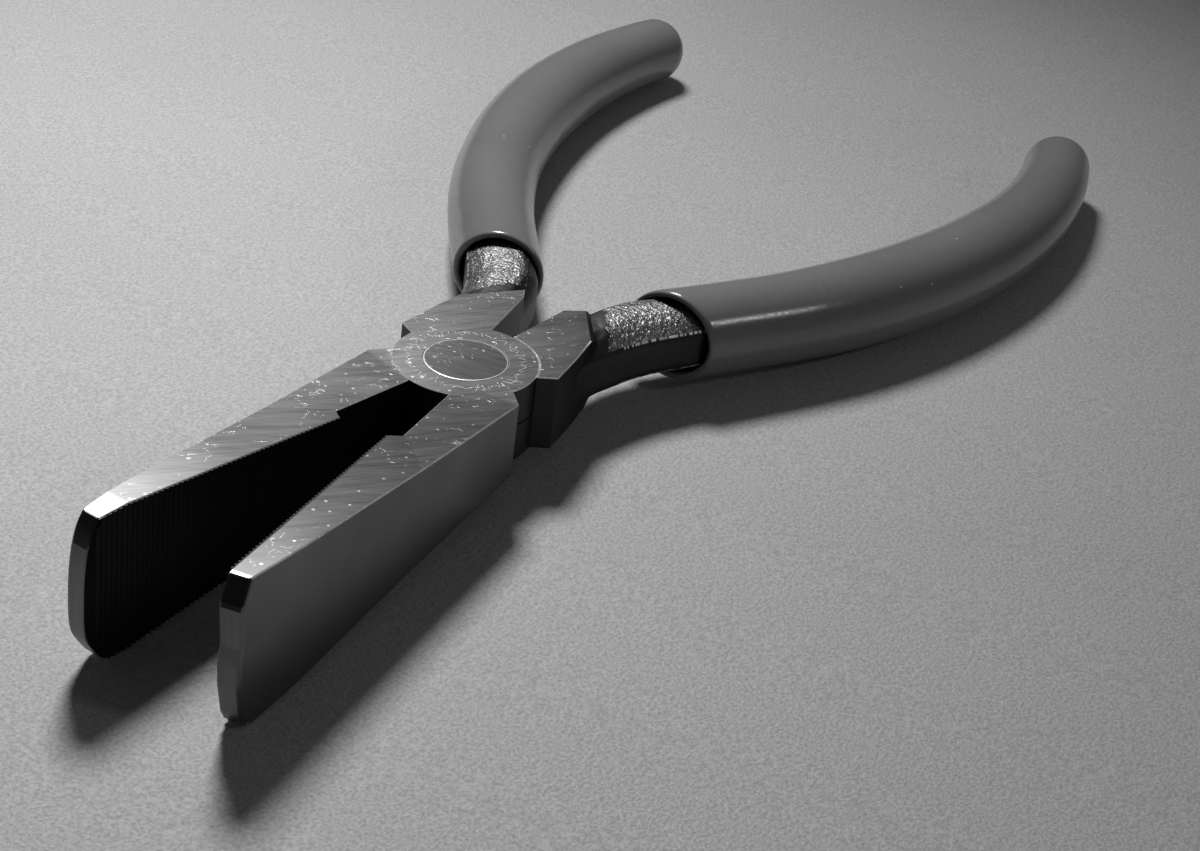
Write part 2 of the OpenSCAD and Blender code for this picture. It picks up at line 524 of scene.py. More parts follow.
@dataclass(frozen=True)
class GroundSteel(Surface):
    """Steel ground flat: slanting grinding lines, nicks and curling scratches."""

    tone: float = 0.24
    rough: float = 0.27
    turn: float = 0.62
    crossing: float = 0.34
    scratches: float = 0.6
    # The next two set painted shading across Y: how far it reaches, and the tone factors at its two ends
    # (lighter towards -Y).
    painted_shading_reach: float = 12.0
    painted_shading: tuple[float, float] = (1.68, 0.92)
    worn_span: tuple[float, float] = (26.0, 56.0)
    # Radius of a thin ring of painted highlight, 0 for none.
    ring_radius: float = 0.0

    def draw(self, net: Easel) -> Look:
        """Draws two runs of grinding lines, marks, wear towards the tips, painted shading across Y and a ring
        of painted highlight.
        """
        crossed = net.lines(0.0, 0.0, self.turn + self.crossing, Fineness=2300.0, Length=0.05)
        grain = net.mix(0.35, net.lines(0.0, 0.0, self.turn), crossed)
        slow = net.clouds(110.0, 0.82, 1.15)
        scratch = net.group(net.effects.scratches, Vector=net.place, Spacing=400.0, Width=0.009, Patches=0.47)
        bright = net.math("MAXIMUM", net.times(scratch, self.scratches), net.specks(1300.0, 0.2, 0.22))
        tone = net.times(net.scale(grain, 0.0, 1.0, self.tone * 0.72, self.tone * 1.3), slow)
        tone = net.mix(bright, tone, 0.95)
        rough = net.scale(grain, 0.0, 1.0, self.rough + 0.07, self.rough - 0.07)
        x, y = net.add("ShaderNodeSeparateXYZ", {0: net.place}).outputs[:2]
        # Painted shading: the flats are painted lighter towards -Y and a little darker towards +Y, in place
        # of how the lamp falls across the tool.
        reach = self.painted_shading_reach * MM
        tone = net.times(tone, net.ramp(y, -reach, reach, *self.painted_shading))
        worn = net.ramp(x, self.worn_span[0] * MM, self.worn_span[1] * MM)
        tone = net.plus(tone, net.times(worn, worn, net.scale(grain, 0.0, 1.0, 0.06, 0.22)))
        rough = net.plus(rough, net.times(worn, 0.06))
        # Painted highlight: a thin bright, matt ring at this radius, where the rivet's edge catches the
        # light.
        if self.ring_radius > 0.0:
            radius = net.math("SQRT", net.plus(net.times(x, x), net.times(y, y)))
            off = net.math("ABSOLUTE", net.minus(radius, self.ring_radius * MM))
            ring = net.times(net.ramp(off, 0.02 * MM, 0.07 * MM, 1.0, 0.0), slow)
            tone = net.mix(ring, tone, 0.45)
            rough = net.mix(ring, rough, 0.6)
        return tone, rough, net.minus(grain, net.times(bright, 2.0)), 0.002


@dataclass(frozen=True)
class SatinSteel(Surface):
    """Machined side faces: smooth, darker, with faint lines along their height."""

    tone: float = 0.18
    rough: float = 0.42
    fineness: float = 2600.0

    def draw(self, net: Easel) -> Look:
        """Draws upright lines under slow clouds."""
        lines = net.lines(0.0, 1.5708, 0.0, Fineness=self.fineness, Length=0.02)
        slow = net.clouds(70.0, 0.86, 1.12)
        tone = net.times(net.scale(lines, 0.0, 1.0, self.tone * 0.88, self.tone * 1.12), slow)
        return tone, net.scale(slow, 0.8, 1.2, self.rough + 0.05, self.rough - 0.05), lines, 0.003


@dataclass(frozen=True)
class EdgeSteel(Surface):
    """Broken edges worn bright; on the forgings the same steel also stands for painted highlights along
    edges, ridges and the tip's top facet.
    """

    tone: float = 0.9
    rough: float = 0.55

    def draw(self, net: Easel) -> Look:
        """Draws close bright nicks on a ragged tone."""
        slow = net.clouds(700.0, 0.6, 1.15)
        tone = net.mix(net.specks(2200.0, 0.35, 0.4), net.times(slow, self.tone), 1.0)
        return tone, net.scale(slow, 0.5, 1.2, self.rough + 0.1, self.rough - 0.04), slow, 0.01


@dataclass(frozen=True)
class ForgedSteel(Surface):
    """Blasted forging scale: coarse glittering grain."""

    tone: float = 0.2
    rough: float = 0.42

    def draw(self, net: Easel) -> Look:
        """Draws the grain and its glints."""
        grain = net.grain(2600.0, 2.5, Roughness=0.6)
        tone = net.times(net.scale(grain, 0.35, 0.65, self.tone * 0.35, self.tone * 1.6),
                         net.clouds(300.0, 0.75, 1.2))
        tone = net.mix(net.specks(2900.0, 0.36, 0.26), tone, 0.75)
        return tone, net.scale(grain, 0.3, 0.7, self.rough + 0.1, self.rough - 0.08), grain, 0.2


@dataclass(frozen=True)
class SleevePlastic(Surface):
    """Dipped plastic: satin, very slightly uneven, with a few grains of dust."""

    tone: float = 0.2
    rough: float = 0.2
    metallic: float = 0.0

    def draw(self, net: Easel) -> Look:
        """Draws the skin, its waves and the dust."""
        dust = net.specks(420.0, 0.055, 0.16)
        skin = net.grain(1500.0, 2.0)
        wave = net.grain(160.0, 1.0)
        tone = net.times(net.scale(skin, 0.3, 0.7, self.tone * 0.95, self.tone * 1.05),
                         net.clouds(45.0, 0.93, 1.06))
        tone = net.mix(net.times(dust, 0.7), tone, 0.8)
        rough = net.scale(skin, 0.3, 0.7, self.rough + 0.05, self.rough - 0.05)
        height = net.plus(net.plus(net.times(skin, 0.12), wave), net.times(dust, 0.3))
        return tone, rough, height, 0.06


@dataclass(frozen=True)
class TableTop(Surface):
    """Pale matt table with a fine mottle."""

    tone: float = 0.42
    rough: float = 0.6
    metallic: float = 0.0

    def draw(self, net: Easel) -> Look:
        """Draws the mottle under slow clouds."""
        fine = net.grain(2600.0, 2.0, Roughness=0.65)
        tone = net.times(net.scale(fine, 0.3, 0.7, self.tone * 0.78, self.tone * 1.22),
                         net.clouds(14.0, 0.96, 1.04))
        return tone, net.scale(fine, 0.3, 0.7, self.rough + 0.05, self.rough - 0.05), fine, 0.12


# ---------------------------------------------------------------- the tool


@dataclass
class Joint:
    """Sizes of the lap joint that both halves and the rivet share."""

    radius: float = 8.0
    thickness: float = 8.9
    lap_gap: float = 0.1
    recess_gap: float = 0.06
    rim: float = 0.09
    head_radius: float = 4.66
    shank_radius: float = 3.0
    clearance: float = 0.04
    open_angle: float = 14.7
    sides: int = 160

    @property
    def half(self) -> float:
        """Half the joint's thickness."""
        return self.thickness / 2

    @property
    def hub(self) -> float:
        """Radius of the recess that the other half's lap turns in."""
        return self.radius + self.recess_gap

    def placing(self, turned_over: bool) -> Matrix:
        """Matrix, in metres, that opens a half and sets its upper face at height 0.

        Args:
            turned_over: Whether the half is the lower one, drawn upside down.

        Returns:
            The matrix.
        """
        side = -1 if turned_over else 1
        down = Matrix.Translation((0, 0, -self.half * MM))
        turn = Matrix.Rotation(math.radians(side * self.open_angle / 2), 4, "Z")
        over = Matrix.Rotation(math.pi, 4, "X") if turned_over else Matrix.Identity(4)
        return down @ turn @ over

    def rivet_profile(self, grow: float = 0.0, flare: float = 0.0) -> list[tuple[float, float]]:
        """Profile of the rivet, or of its hole.

        Args:
            grow: Growth all round.
            flare: How far the hole's mouth opens out at its very edge, 0 for the rivet.

        Returns:
            (radius, height) pairs from the top pole to the bottom one.
        """
        h, head = self.half, self.head_radius + grow
        if flare > 0:
            top = [(0.0, h + 1), (head + flare + 1, h + 1), (head + flare, h), (head, h - flare)]
        else:
            top = [(0.0, h + 0.015), (head - 0.16, h + 0.015), (head - 0.06, h - 0.01),
                   (head - 0.03, h - 0.06)]
        top.append((self.shank_radius + grow, h - self.head_radius + self.shank_radius))
        return top + [(r, -z) for r, z in reversed(top)]


@dataclass
class Jaw:
    """One long wide jaw."""

    joint: Joint
    nose: Nose
    length: float = 55.0
    tip_half: float = 8.5
    tip_thickness: float = 2.5
    shoulder: tuple[float, float] = (6.0, 8.65)
    slot_y: float = 1.45
    step_start: float = 19.6
    bite_x: float = 20.4
    bite_gap: float = 0.05
    tooth_depth: float = 0.22
    crease_in: tuple[float, float] = (19.4, 1.5)
    crease_out: tuple[float, float] = (24.7, 6.7)
    corner: float = 0.13
    corner_share: float = 0.985
    flare: float = 0.072
    flare_x: float = 8.2
    flare_lean: float = -0.306
    nose_from: float = 45.0
    facet_from: float = 49.8
    facet_slope: float = 0.11

    def __post_init__(self) -> None:
        """Works out the slope of the flare and the profile of the nose."""
        self.slant = (self.crease_out[0] - self.crease_in[0]) / (self.crease_out[1] - self.crease_in[1])
        left = self.tip_half - self.joint.half - self.flare * (self.length - self.flare_x)
        self.rise = left / (self.length - self.crease_in[0])
        if self.nose is Nose.BEVELLED:
            self.profile = [(-8.5, 52.2), (-7.7, 53.2), (-6.4, 54.0), (-2.8, 54.85), (-0.3, 54.95),
                            (1.4, 54.6), (5.79, 55.0), (5.8, 55.0), (8.5, 53.3)]
        else:
            self.profile = [(-8.5, 52.75), (-6.7, 54.0), (-3.9, 54.75), (0.3, 55.0), (4.4, 54.7),
                            (6.85, 53.3), (7.8, 52.5), (8.5, 51.5)]

    def outer(self, x: float) -> float:
        """Distance of the outer face from the middle plane."""
        share = (x - self.shoulder[0]) / (self.length - self.shoulder[0])
        return self.shoulder[1] + (self.tip_thickness - self.shoulder[1]) * share

    def inner(self, x: float) -> float:
        """Distance of the inner face from the middle plane, below the teeth."""
        base = self.bite_gap + self.tooth_depth
        return lookup(x, [(self.step_start, self.slot_y), (self.bite_x, base)])

    def top(self, x: float, y: float) -> float:
        """Height of the top face over the middle plane.

        Args:
            x: Place along the jaw.
            y: Distance from the middle plane.

        Returns:
            The height.
        """
        first = self.flare * max(0.0, x - self.flare_x - self.flare_lean * (y - self.slot_y))
        second = self.rise * max(0.0, x - self.crease_in[0] - self.slant * (y - self.crease_in[1]))
        return self.joint.half + first + second - self.facet_slope * max(0.0, x - self.facet_from)

    def nose_x(self, z: float) -> float:
        """Where the jaw ends at a height."""
        return lookup(z, self.profile, self.nose is Nose.ROUNDED)

    def levels(self) -> list[float]:
        """Shares of the half height at which a ring has points, bottom to top."""
        inside = [-0.97 + 1.94 * k / 36 for k in range(37)]
        if self.nose is Nose.BEVELLED:
            inside = sorted(inside + [0.688, 0.7])
        return [-1.0, -self.corner_share, *inside, self.corner_share, 1.0]

    def ring(self, x_in: float, x_out: float, y_in: float, y_out: float, pull: float = 0.0,
             trim: Sequence[float] = (0.0, 0.0, 0.0, 0.0)) -> Ring:
        """One slanting ring of the jaw.

        Args:
            x_in: Place of its inner side along the jaw.
            x_out: Place of its outer side.
            y_in: Distance of its inner side from the middle plane.
            y_out: Distance of its outer side.
            pull: How far it takes the nose's profile, 0 to 1.
            trim: Amounts taken off its inner side, its outer side, its end and its top.

        Returns:
            Points up the inner side and down the outer side.
        """
        points: Ring = []
        for x, y, into in ((x_in, y_in + trim[0], 1), (x_out, y_out - trim[1], -1)):
            side: Ring = []
            for share in self.levels():
                near_top = abs(share) >= self.corner_share
                z = share * self.top(x, y)
                for _ in range(2):
                    at = x + pull * (self.nose_x(z) - self.length) - trim[2]
                    z = share * (self.top(at, y) - (trim[3] if near_top else 0.0))
                corner = self.corner if abs(share) == 1.0 else 0.0
                if near_top and not corner:
                    z = math.copysign(self.top(at, y) - self.corner - trim[3], share)
                side.append(Vector((at, y + into * corner, z)))
            points += side[::into]
        return points

    def mesh(self) -> Mesh:
        """The jaw without its teeth, as one closed mesh.

        Returns:
            The mesh.
        """
        hub = self.joint.hub
        by_lap = heading(62) * hub
        rings = [
            self.ring(1.5, hub * 0.25, self.slot_y, hub * 0.43),
            self.ring(3.2, by_lap.x, self.slot_y, by_lap.y),
            self.ring(5.2, self.shoulder[0], self.slot_y, self.shoulder[1]),
        ]
        pairs = [(self.flare_x, 6.6), (9.6, 11.0), (14.0, 17.5), (self.crease_in[0], self.crease_out[0]),
                 (self.step_start, 25.0), (self.bite_x, 25.8), (24.0, 29.0), (30.0, 34.0), (37.0, 39.5)]
        for x_in, x_out in pairs:
            rings.append(self.ring(x_in, x_out, self.inner(x_in), self.outer(x_out)))
        end = self.length
        span = end - 0.4 - self.nose_from
        steps = 14
        for k in range(steps + 1):
            x = self.nose_from + span * k / steps
            rings.append(self.ring(x, x, self.inner(x), self.outer(x), ease(k / steps)))
        for inner_trim, outer_trim, back in ((0.0, 0.05, 0.2), (0.02, 0.16, 0.07), (0.13, 0.36, 0.0)):
            trim = (inner_trim, outer_trim, back, inner_trim * 0.5)
            rings.append(self.ring(end, end, self.inner(end), self.outer(end), 1.0, trim))
        return loft("jaw", rings, strip_caps=True)


@dataclass
class HandlePath:
    """Centre line of a handle: straight, then two bends that turn clockwise."""

    mouth: tuple[float, float] = (-30.6, -8.5)
    start_heading: float = 206.15
    straight: float = 11.0
    bend1: tuple[float, float] = (101.0, 51.0)
    bend2: tuple[float, float] = (85.0, 27.0)
    end_radius: float = 4.75
    end_wall: float = 5.0
    lead: float = 6.0
    steps: int = 240

    @property
    def length(self) -> float:
        """Length of the centre line from the mouth to where the round end starts."""
        return self.straight + self.bend1[1] + self.bend2[1]

    @property
    def tang_end(self) -> float:
        """Where the tang ends."""
        return self.length - self.end_wall + self.end_radius

    def heading(self, run: float) -> float:
        """Heading in degrees at a distance behind the mouth."""
        first = min(max(run - self.straight, 0.0), self.bend1[1]) / self.bend1[0]
        second = max(run - self.straight - self.bend1[1], 0.0) / self.bend2[0]
        return self.start_heading - math.degrees(first + second)

    def beside(self, run: float, reach: float) -> Vector:
        """Point beside the straight part, inwards by a reach."""
        along = heading(self.start_heading) * run
        return Vector((*self.mouth, 0)) + along + heading(self.start_heading - 90) * reach

    def point(self, run: float) -> Vector:
        """Point on the centre line.

        Args:
            run: Distance behind the mouth, negative in front of it.

        Returns:
            The point.
        """
        p = self.beside(min(run, self.straight), 0.0)
        done = self.straight
        for radius, length in (self.bend1, self.bend2):
            if run <= done:
                break
            part = run - done if radius == self.bend2[0] else min(run - done, length)
            a = self.heading(done)
            p += (heading(a - 90) + heading(a - math.degrees(part / radius) + 90)) * radius
            done += length
        return p

    def curve(self) -> Object:
        """A helper curve along the path, from in front of the mouth to past the end.

        Returns:
            The curve, in metres.
        """
        data = bpy.data.curves.new("handle path", "CURVE")
        data.dimensions = "3D"
        reach = self.lead + self.length + 2 * self.end_radius
        spline = data.splines.new("POLY")
        spline.points.add(self.steps)
        for k, point in enumerate(spline.points):
            point.co = (*(self.point(reach * k / self.steps - self.lead) * MM), 1.0)
        return new_object("handle path", data)


@dataclass
class Shank:
    """The ground pad behind the lap, the forged neck and the tang inside the sleeve."""

    joint: Joint
    path: HandlePath
    gap: float = 0.3
    pad_length: float = 19.4
    corner: float = 0.13
    end_slope: float = 0.75
    neck_step: float = 0.3
    neck_half_w: float = 4.05
    neck_half_h: float = 3.95
    tang_half_w: float = 3.5
    tang_half_h: float = 3.1
    tang_taper: float = 0.75
    valley: float = 0.1
    full_pad: bool = False
    grain: float = 0.045
    waves: float = 0.03
    ring_step: float = 0.22
    tang_step: float = 3.5
    around: int = 88

    def pad_outline(self) -> Ring:
        """Corners of the ground pad from above, tool shut."""
        end, y = -self.pad_length, -self.gap
        back = (end - 0.2, y - 1.9) if self.full_pad else (end, y - 0.6)
        corners = [(-4.0, y), (end + 1.8, y), back, (end + 5.5, -6.9), (-9.6, -8.1), (-4.1, -9.4)]
        by_lap = heading(251)
        inside = [by_lap * self.joint.hub, by_lap * (self.joint.radius / 2)]
        return [Vector((*c, 0)) for c in corners] + inside

    def beyond_pad(self, point: Vector) -> float:
        """How far a point lies behind the line of the pad's end.

        Args:
            point: The point, tool shut.

        Returns:
            The distance, negative on the pad.
        """
        start, end = self.pad_outline()[2:4]
        direction = (end - start).normalized()
        return (point - start).dot(Vector((direction.y, -direction.x, 0)))

    def inset(self, inset: float, slope: float) -> Ring:
        """The pad's outline moved in, with its end line moved out.

        Args:
            inset: How far the outline moves in.
            slope: How far its end line moves out.

        Returns:
            The moved corners.
        """
        outline = self.pad_outline()
        moved: Ring = []
        for i, p in enumerate(outline):
            a = (p - outline[i - 1]).normalized()
            b = (outline[(i + 1) % len(outline)] - p).normalized()
            on_a = p + Vector((-a.y, a.x, 0)) * (inset - slope if i == 3 else inset)
            on_b = p + Vector((-b.y, b.x, 0)) * (inset - slope if i == 2 else inset)
            cross = a.x * b.y - a.y * b.x
            if abs(cross) < 1e-4:
                moved.append(on_a)
                continue
            # the corner where the two moved sides meet
            moved.append(on_a + a * (((on_b - on_a).x * b.y - (on_b - on_a).y * b.x) / cross))
        return moved

    def pad_mesh(self) -> Mesh:
        """The pad: a prism with broken edges whose end slopes down to the neck.

        Returns:
            The closed mesh.
        """
        h = self.joint.half
        levels = [(h, self.corner, 0.0), (h - self.corner, 0.0, 0.05), (h - 0.75, 0.0, self.end_slope)]
        levels += [(-z, inset, slope) for z, inset, slope in reversed(levels)]
        return loft("pad", [[p + UP * z for p in self.inset(inset, slope)] for z, inset, slope in levels])

    def sides_at(self, run: float) -> tuple[Vector, Vector, float]:
        """Inner point, outer point and half height of the neck or tang.

        Args:
            run: Distance behind the sleeve's mouth, negative in front of it.

        Returns:
            The two points and the half height.
        """
        path = self.path
        if run < 0:
            h = self.joint.half - self.neck_step
            w = self.neck_half_w
            inner = [(-22.0, -9.0, -self.gap), (-17.0, -14.0, -self.gap), (-12.4, -18.5, -self.gap - 0.25)]
            outer = [(-22.0, -8.6, -8.1), (-17.0, -12.4, -7.75), (-12.4, -16.6, -8.1)]
            for at, reach_in, reach_out in ((-7.0, 4.2, 4.45), (0.0, w, w), (3.0, 3.7, 3.7)):
                inner.append((at, *path.beside(at, reach_in).xy))
                outer.append((at, *path.beside(at, -reach_out).xy))
            height = lookup(run, [(-22.0, h), (-12.4, h), (-7.0, h * 0.96), (0.0, self.neck_half_h)], True)
            points = [
                Vector([lookup(run, [(row[0], row[k]) for row in rows], True) for k in (1, 2)] + [0.0])
                for rows in (inner, outer)
            ]
            return points[0], points[1], height
        t = ease(run / 4)
        k = 1 - (1 - self.tang_taper) * run / path.tang_end
        half_w = (self.neck_half_w + (self.tang_half_w - self.neck_half_w) * t) * k
        half_h = (self.neck_half_h + (self.tang_half_h - self.neck_half_h) * t) * k
        centre = path.point(run)
        side = heading(path.heading(run) - 90) * half_w
        return centre + side, centre - side, half_h

    def section(self, run: float) -> Ring:
        """One ring of the neck or tang: flat sides, a ridge and a gently crowned top.

        Args:
            run: Distance behind the sleeve's mouth, negative in front of it.

        Returns:
            The ring's points, over the top and back below.
        """
        p_in, p_out, half_h = self.sides_at(run)
        mid = (p_in + p_out) / 2
        side = (p_out - p_in) / 2
        # (share of the half width, share of the half height), from the inner side over the top
        upper = [(-1.0, 0.0), (-1.0, 0.35), (-0.93, 0.56), (-0.78, 0.76), (-0.62, 0.92), (-0.5, 0.975),
                 (-0.15, 1.0), (0.25, 0.97), (0.58, 0.84), (0.925, 0.6), (0.97, 0.53), (1.0, 0.4), (1.0, 0.0)]
        lengths = [0.0]
        for a, b in zip(upper, upper[1:]):
            lengths.append(lengths[-1] + math.dist(a, b))
        wide, high = (list(zip(lengths, shares)) for shares in zip(*upper))
        half = self.around // 2
        ring: Ring = []
        for k in range(half):
            at = lengths[-1] * k / half
            w = lookup(at, high)
            p = mid + side * lookup(at, wide)
            z = w * half_h
            if w > 0.5 and run < 0:
                z -= self.valley * (1 - ease((self.beyond_pad(p) - 0.9) / 1.3)) * ease((w - 0.5) / 0.4)
            ring.append(Vector((p.x, p.y, z)))
        below = [Vector((p.x, p.y, -p.z)) for p in reversed(ring[1:])]
        return ring + [Vector((p_out.x, p_out.y, 0))] + below

    def roughen(self, mesh: Mesh) -> None:
        """Gives the crowned top and underside of the neck their blasted grain.

        Args:
            mesh: The neck's mesh, in metres.
        """
        for vertex in mesh.vertices:
            p = vertex.co / MM
            forward = (p - self.path.beside(0.0, 0.0)).dot(heading(self.path.start_heading))
            if forward > 1.0 or self.beyond_pad(Vector((p.x, p.y, 0))) < 0.3:
                continue
            half_h = self.sides_at(min(forward, -0.01))[2]
            share = ease((abs(p.z) / half_h - 0.62) / 0.2)
            fine = noise.noise(p * 2.6) + 0.6 * noise.noise(p * 5.1)
            broad = noise.noise(p * 0.55)
            vertex.co += vertex.normal * MM * (share * self.grain * fine + self.waves * broad)

    def neck_mesh(self) -> Mesh:
        """The neck and tang.

        Returns:
            The closed mesh.
        """
        runs = [-22.0, -20.0, -18.0, -17.0]
        while runs[-1] < 1.2:
            runs.append(runs[-1] + self.ring_step)
        runs += [2.0, 3.0, 4.0]
        while runs[-1] + self.tang_step < self.path.tang_end:
            runs.append(runs[-1] + self.tang_step)
        mesh = loft("neck", [self.section(run) for run in [*runs, self.path.tang_end]])
        self.roughen(mesh)
        return mesh


@dataclass
class Forging:
    """One half of the tool: jaw, lap, pad, neck and tang in one piece."""

    name: str
    node: str
    body: str
    turned_over: bool
    jaw: Jaw
    shank: Shank
    lap_corner: float = 0.08
    hole_flare: float = 0.05
    neck_x: float = -13.5
    sharp_flat: float = 6.0
    sharp_neck: float = 40.0

    def build(self, materials: Sequence[Material]) -> Object:
        """Builds the forging and dresses it.

        Args:
            materials: One material for each Finish, in order.

        Returns:
            The finished piece, riding on its body.
        """
        joint = self.jaw.joint
        r, rim, h = joint.radius, joint.rim, joint.half
        hub, face = joint.hub, joint.lap_gap / 2
        obj = new_object(self.name, self.jaw.mesh())
        combine(obj, self.shank.pad_mesh(), "UNION")
        combine(obj, self.shank.neck_mesh(), "UNION")
        recess = [(0.0, -h - 1), (hub + rim + 1, -h - 1), (hub + rim, -h), (hub, rim - h), (hub, face),
                  (0.0, face)]
        combine(obj, lathe("recess", recess, joint.sides), "DIFFERENCE")
        lap = [(0.0, face), (r - self.lap_corner, face), (r, face + self.lap_corner), (r, h - rim),
               (r - rim, h), (0.0, h)]
        combine(obj, lathe("lap", lap, joint.sides), "UNION")
        grow = joint.clearance if self.turned_over else 0.0
        combine(obj, lathe("hole", joint.rivet_profile(grow, self.hole_flare)), "DIFFERENCE")
        self._shade(obj, materials)
        obj.data.transform(joint.placing(self.turned_over))
        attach(obj, self.body)
        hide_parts(self.node)
        return obj

    def _shade(self, obj: Object, materials: Sequence[Material]) -> None:
        """Sets each face's finish, marks the crisp edges and evens the normals.

        Args:
            obj: The forging.
            materials: One material for each Finish, in order.
        """
        mesh = obj.data
        mesh.materials.clear()
        for material in materials:
            mesh.materials.append(material)
        with editing(mesh) as work:
            bmesh.ops.remove_doubles(work, verts=work.verts, dist=1e-7)
            bmesh.ops.dissolve_degenerate(work, edges=work.edges, dist=1e-7)
            for edge in work.edges:
                if len(edge.link_faces) == 2:
                    x = (edge.verts[0].co.x + edge.verts[1].co.x) / 2 / MM
                    limit = self.sharp_neck if x < self.neck_x else self.sharp_flat
                    edge.smooth = edge.calc_face_angle() < math.radians(limit)
            for face in work.faces:
                face.smooth = True
                face.material_index = self._finish(face).value
        even = obj.modifiers.new("even", "WEIGHTED_NORMAL")
        even.keep_sharp = True
        even.weight = 90
        bake_modifiers(obj)

    def _finish(self, face: bmesh.types.BMFace) -> Finish:
        """Finish of a face, from its place and direction with the tool shut.

        Args:
            face: The face.

        Returns:
            Its finish.
        """
        jaw, joint = self.jaw, self.jaw.joint
        centre = face.calc_center_median() / MM
        normal = face.normal
        up = abs(normal.z)
        over = abs(centre.z) - joint.half
        flat = up > 0.97 and over > -0.05
        ragged = noise.noise(centre * 0.9)
        beyond = self.shank.beyond_pad(Vector((centre.x, centre.y, 0)))
        if centre.x < -9 and (beyond > 0.02 or not flat):
            # Behind the joint the crowned top is blasted scale; the rest is near-black side steel, the
            # forging's dark side and, in the valley behind the pad, painted shade.
            if beyond > 2.3 + 0.6 * ragged and up > 0.76:
                return Finish.SCALE
            # Bright edge steel on the neck's ridge and the pad's broken edges: worn edges, with painted
            # highlight along them.
            ridge = beyond > 4 and 0.4 < up <= 0.76 and normal.y < -0.3 and noise.noise(centre * 3.1) > -0.1
            pad_edge = 0.25 < up < 0.9 and over > -self.shank.corner - 0.02 and beyond < -0.3
            return Finish.EDGE if ridge or pad_edge else Finish.NECK_SIDE_AND_SHADE
        # On the nose, faces that rise towards the top get the near-black side steel as painted shade; the
        # rest are satin.
        if centre.x > jaw.nose_from and normal.x > 0.5:
            rise = -normal.z if self.turned_over else normal.z
            return Finish.NECK_SIDE_AND_SHADE if rise > 0.25 else Finish.SATIN
        # The tip's top facet gets the bright edge steel as a painted highlight.
        if up > 0.95 and over > 2.5 and centre.x > jaw.facet_from:
            return Finish.EDGE
        if flat:
            return Finish.GROUND
        # Small broken edges get the bright edge steel: wear, and the painted highlights along them.
        if 0.3 < up < 0.95 and over > -0.2 and face.calc_area() < 4e-6:
            return Finish.EDGE
        if up > 0.97:
            return Finish.GROUND
        # The inner faces by the teeth get near-black steel as painted shade.
        if centre.x > 3 and centre.y < jaw.slot_y + 0.15 and normal.y < -0.5:
            return Finish.BITE_IN_SHADE
        # Side faces by the lap get the near-black side steel as painted shade; the other side faces are
        # satin.
        by_lap = centre.x < jaw.shoulder[0] - 0.1 or centre.xy.length < joint.radius + 0.4
        return Finish.NECK_SIDE_AND_SHADE if by_lap else Finish.SATIN


@dataclass
class Teeth:
    """The row of fine upright ridges on a jaw's inner face."""

    name: str
    body: str
    turned_over: bool
    jaw: Jaw
    pitch: float = 0.65
    sink: float = 0.08
    end_margin: float = 1.1
    at_y: float = 0.3

    def tree(self) -> NodeTree:
        """A tree that repeats one ridge along the jaw, each as tall as the jaw is there."""
        inputs = {"Ridge": "Geometry", "Count": 10, "Pitch": 0.001, "First": 0.02, "Half Height": 0.005,
                  "Rise": 0.1, "Steel": "Material"}
        net = Group("Geometry", "row of teeth", inputs)
        given = net.given
        start, step = net.xyz(given["First"]), net.xyz(given["Pitch"])
        line = {"Count": given["Count"], "Start Location": start, "Offset": step}
        row = net.out("GeometryNodeMeshLine", line)
        grown = net.times(net.out("GeometryNodeInputIndex"), given["Pitch"], given["Rise"])
        size = net.xyz(1.0, 1.0, net.plus(grown, given["Half Height"]))
        copies = {"Points": row, "Instance": given["Ridge"], "Scale": size}
        return net.dress(net.out("GeometryNodeInstanceOnPoints", copies), "Steel")

    def build(self, steel: Material, worn: Material) -> Object:
        """Builds the row.

        Args:
            steel: The material of the ridges.
            worn: The material of their ends.

        Returns:
            The finished piece, riding on its body.
        """
        jaw = self.jaw
        half, tip = self.pitch * 0.49, self.pitch * 0.05
        crest, foot = jaw.bite_gap, jaw.bite_gap + jaw.tooth_depth
        outline = [(-half, foot + self.sink), (-half, foot), (-tip, crest), (tip, crest), (half, foot),
                   (half, foot + self.sink)]
        rings = [[Vector((x, y, z / MM)) for x, y in outline] for z in (-1.0, 1.0)]
        obj = new_object(self.name, loft("ridge", rings))
        first = jaw.bite_x + self.pitch / 2
        values = {
            "Count": int((jaw.length - self.end_margin - jaw.bite_x) / self.pitch),
            "Pitch": self.pitch * MM,
            "First": first * MM,
            "Half Height": (jaw.top(first, self.at_y) - 0.02) * MM,
            "Rise": jaw.flare + jaw.rise,
            "Steel": steel,
        }
        run_tree(obj, self.tree(), values)
        self._fit_nose(obj)
        obj.data.materials.append(worn)
        for face in obj.data.polygons:
            if abs(face.normal.z) > 0.9:
                face.material_index = 1
        obj.data.transform(jaw.joint.placing(self.turned_over))
        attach(obj, self.body)
        return obj

    def _fit_nose(self, obj: Object) -> None:
        """Shortens the last ridges so that they stay inside the rounded nose.

        Args:
            obj: The row.
        """
        jaw = self.jaw
        for vertex in obj.data.vertices:
            p = vertex.co / MM
            if p.x < jaw.nose_from:
                continue
            sign = math.copysign(1.0, p.z)
            z = min(abs(p.z), jaw.top(p.x, self.at_y) - 0.04)
            while z > 1 and jaw.nose_x(sign * z) - 0.35 < p.x:
                z -= 0.05
            vertex.co.z = sign * z * MM


